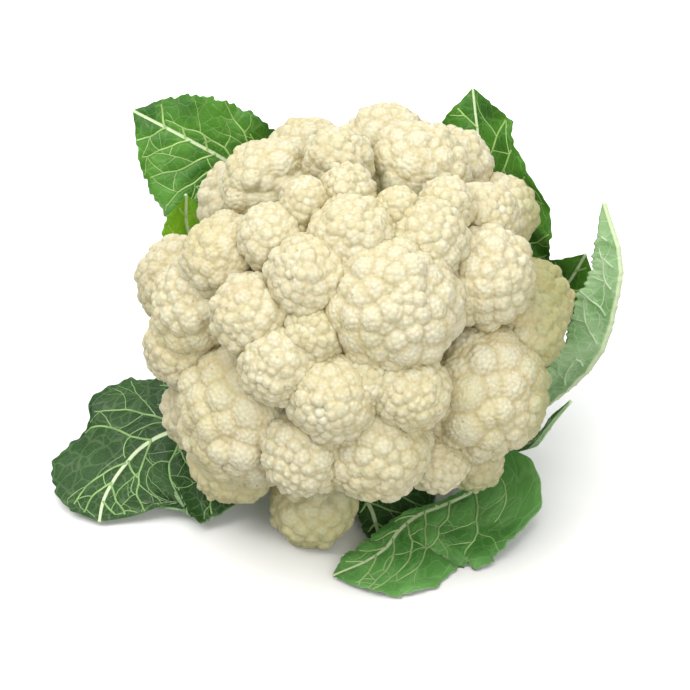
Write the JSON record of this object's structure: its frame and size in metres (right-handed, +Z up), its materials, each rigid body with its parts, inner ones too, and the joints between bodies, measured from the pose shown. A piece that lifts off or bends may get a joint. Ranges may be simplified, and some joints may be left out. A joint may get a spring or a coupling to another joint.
{
  "type": "cauliflower",
  "caption": "Whole cauliflower head with lumpy white florets on a short cut stalk and a few green wrapper leaves, lying on its side as sold.",
  "frame": {"origin": "on the surface that the head lies on, under the middle of the whole object's box", "axes": "+Z up; +Y away from the front of the head, where its crown leans; +X to its right"},
  "size_m": [0.2316, 0.188, 0.1642],
  "materials": {
    "curd": "matt, finely granular, creamy white with tan creases",
    "stalk": "satin, pale green white, with a dull dry cut face",
    "leaf_green": "waxy satin green with pale raised veins",
    "leaf_pale": "waxy bloom on the pale underside, with whitish veins"
  },
  "bodies": {
    "root": {"stalk": "stalk", "floret_crown_1": "curd", "floret_crown_2": "curd", "floret_crown_3": "curd", "floret_crown_4": "curd", "floret_crown_5": "curd", "floret_crown_6": "curd", "floret_upper_1": "curd", "floret_upper_2": "curd", "floret_upper_3": "curd", "floret_upper_4": "curd", "floret_upper_5": "curd", "floret_upper_6": "curd", "floret_upper_7": "curd", "floret_shoulder_1": "curd", "floret_shoulder_2": "curd", "floret_shoulder_3": "curd", "floret_shoulder_4": "curd", "floret_shoulder_5": "curd", "floret_shoulder_6": "curd", "floret_shoulder_7": "curd", "floret_middle_1": "curd", "floret_middle_2": "curd", "floret_middle_3": "curd", "floret_middle_4": "curd", "floret_middle_5": "curd", "floret_middle_6": "curd", "floret_middle_7": "curd", "floret_middle_8": "curd", "floret_lower_1": "curd", "floret_lower_2": "curd", "floret_lower_3": "curd", "floret_lower_4": "curd", "floret_lower_5": "curd", "floret_lower_6": "curd", "floret_lower_7": "curd", "floret_back_1": "curd", "floret_back_2": "curd", "floret_back_3": "curd", "floret_back_4": "curd", "floret_back_5": "curd", "floret_rim_1": "curd", "floret_rim_2": "curd", "floret_rim_3": "curd", "floret_rim_4": "curd", "floret_rim_5": "curd", "floret_rim_6": "curd", "floret_rim_7": "curd", "floret_rim_8": "curd", "floret_rim_9": "curd", "floret_rim_10": "curd", "leaf_front_right": "leaf_green", "leaf_front_under": "leaf_green", "leaf_left": "leaf_green", "leaf_right": "leaf_pale", "leaf_right_lower": "leaf_pale", "leaf_right_small": "leaf_green", "leaf_back_right": "leaf_green", "leaf_back_left": "leaf_green", "leaf_young": "leaf_green"}
  },
  "joints": []
}
